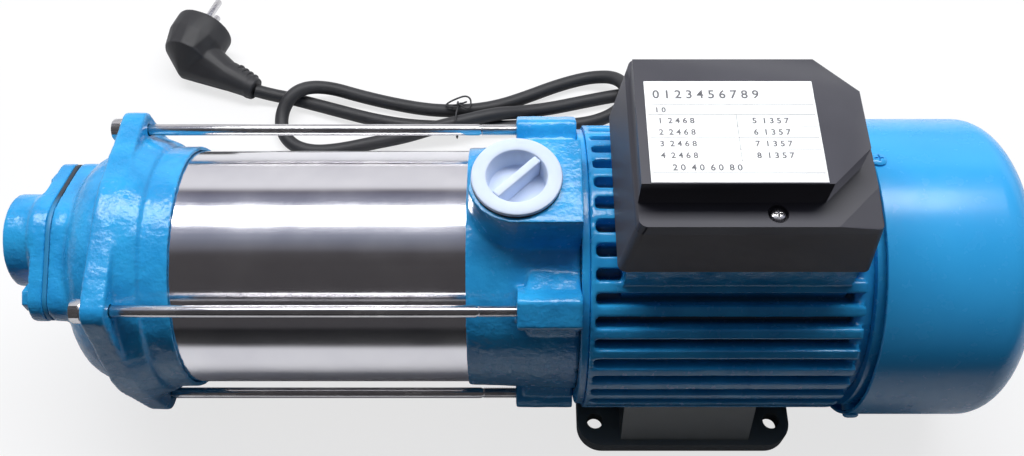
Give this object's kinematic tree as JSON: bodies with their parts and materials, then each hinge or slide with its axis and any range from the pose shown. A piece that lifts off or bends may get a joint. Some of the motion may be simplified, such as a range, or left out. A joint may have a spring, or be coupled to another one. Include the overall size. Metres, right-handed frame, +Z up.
{
  "type": "multistage centrifugal pump",
  "caption": "Horizontal multistage centrifugal pump: steel barrel held by tie rods, finned blue motor, terminal box, foot, screw-plugged outlet and coiled mains lead.",
  "frame": {"origin": "centre of the four foot holes, on the face of the foot that stands on the floor", "axes": "+X along the shaft from the inlet towards the fan, +Y towards the side with the cord gland, +Z up"},
  "size_m": [0.509, 0.3197, 0.2142],
  "materials": {
    "blue_casting": "gloss orange-peel cast paint",
    "blue_sheet": "smooth gloss paint",
    "stainless": "bright drawn tube",
    "zinc_plated": "bright zinc plate",
    "bare_steel": "ground",
    "motor_steel": "laminated",
    "copper": "varnished wire",
    "black_plastic": "satin",
    "foot_black": "satin",
    "hydraulic_plastic": "satin",
    "plug_white": "translucent",
    "gasket_rubber": "matt",
    "cord_rubber": "matt",
    "seal_ceramic": "polished",
    "label_silver": "satin",
    "capacitor_white": "gloss"
  },
  "bodies": {
    "pump": {"barrel_seals": "gasket_rubber", "box_cover_screws": "zinc_plated", "cable_gland": "black_plastic", "cord_hank": "cord_rubber", "cord_tie": "cord_rubber", "discharge_housing": "blue_casting", "fan_cover": "blue_sheet", "fan_cover_screws": "zinc_plated", "foot_screws": "zinc_plated", "front_bearing_outer": "bare_steel", "inlet_bolts": "zinc_plated", "inlet_flange": "blue_casting", "inlet_gasket": "gasket_rubber", "mains_plug": "cord_rubber", "motor_foot": "foot_black", "motor_front_bracket": "blue_casting", "motor_housing": "blue_casting", "motor_rear_bracket": "blue_casting", "nameplate": "label_silver", "plug_lead": "cord_rubber", "plug_pins": "zinc_plated", "power_cord": "cord_rubber", "pump_barrel": "stainless", "rear_bearing_outer": "bare_steel", "run_capacitor": "capacitor_white", "seal_seat": "seal_ceramic", "stage_diffuser_1": "hydraulic_plastic", "stage_diffuser_2": "hydraulic_plastic", "stage_diffuser_3": "hydraulic_plastic", "stage_diffuser_4": "hydraulic_plastic", "stage_diffuser_5": "hydraulic_plastic", "stage_diffuser_6": "hydraulic_plastic", "stator_core": "motor_steel", "stator_windings": "copper", "suction_housing": "blue_casting", "terminal_block": "black_plastic", "terminal_box_base": "black_plastic", "terminal_box_cover": "black_plastic", "tie_rod_nuts": "zinc_plated", "tie_rod_washers": "zinc_plated", "tie_rods": "zinc_plated"},
    "shaft": {"shaft": "bare_steel", "impeller_1": "hydraulic_plastic", "impeller_2": "hydraulic_plastic", "impeller_3": "hydraulic_plastic", "impeller_4": "hydraulic_plastic", "impeller_5": "hydraulic_plastic", "impeller_6": "hydraulic_plastic", "impeller_nut": "stainless", "seal_head": "bare_steel", "rotor_core": "motor_steel", "cooling_fan": "black_plastic", "front_bearing_inner": "bare_steel", "rear_bearing_inner": "bare_steel"},
    "front_cage": {"front_bearing_balls": "bare_steel", "front_bearing_cage": "stainless"},
    "rear_cage": {"rear_bearing_balls": "bare_steel", "rear_bearing_cage": "stainless"},
    "plug_washer": {"outlet_plug_washer": "gasket_rubber"},
    "plug": {"outlet_plug": "plug_white"}
  },
  "joints": [
    {"name": "shaft_spin", "type": "hinge", "parent": "pump", "child": "shaft", "pos_m": [0, 0, 0.08], "axis": [1, 0, 0], "continuous": true},
    {"name": "front_cage_spin", "type": "hinge", "parent": "pump", "child": "front_cage", "pos_m": [-0.053, 0, 0.08], "axis": [1, 0, 0], "continuous": true},
    {"name": "rear_cage_spin", "type": "hinge", "parent": "pump", "child": "rear_cage", "pos_m": [0.068, 0, 0.08], "axis": [1, 0, 0], "continuous": true},
    {"name": "plug_turn", "type": "hinge", "parent": "pump", "child": "plug_washer", "pos_m": [-0.095, 0, 0.166], "axis": [0, 0, 1], "range_deg": [0, 2160]},
    {"name": "plug_lift", "type": "slide", "parent": "plug_washer", "child": "plug", "axis": [0, 0, 1], "range_m": [0, 0.0139]}
  ],
  "couplings": [
    {"joint": "front_cage_spin", "follows": "shaft_spin", "ratio": 0.3843},
    {"joint": "rear_cage_spin", "follows": "shaft_spin", "ratio": 0.4117},
    {"joint": "plug_lift", "follows": "plug_turn", "m_per_rad": 0.00036749}
  ]
}
